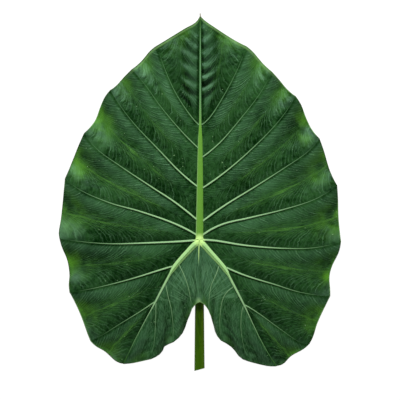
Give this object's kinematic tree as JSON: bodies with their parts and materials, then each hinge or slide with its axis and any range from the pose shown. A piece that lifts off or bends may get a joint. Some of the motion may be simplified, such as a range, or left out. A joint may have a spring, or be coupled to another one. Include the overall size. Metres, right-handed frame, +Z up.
{
  "type": "elephant ear leaf",
  "caption": "Large heart-shaped leaf with arching ribs and a scalloped edge, cut with a short stalk and lying face up; decorative foliage.",
  "frame": {"origin": "middle of the leaf's box as seen from above, on the surface that it lies on", "axes": "+Y along the midrib from the stalk's cut end to the blade's tip, +Z up out of the blade's upper face"},
  "size_m": [0.3664, 0.4616, 0.0317],
  "materials": {
    "blade_green": "waxy deep green leaf with pale green ribs",
    "stalk_green": "smooth olive green stalk"
  },
  "bodies": {
    "root": {"leaf_blade": "blade_green", "leaf_stalk": "stalk_green"}
  },
  "joints": []
}
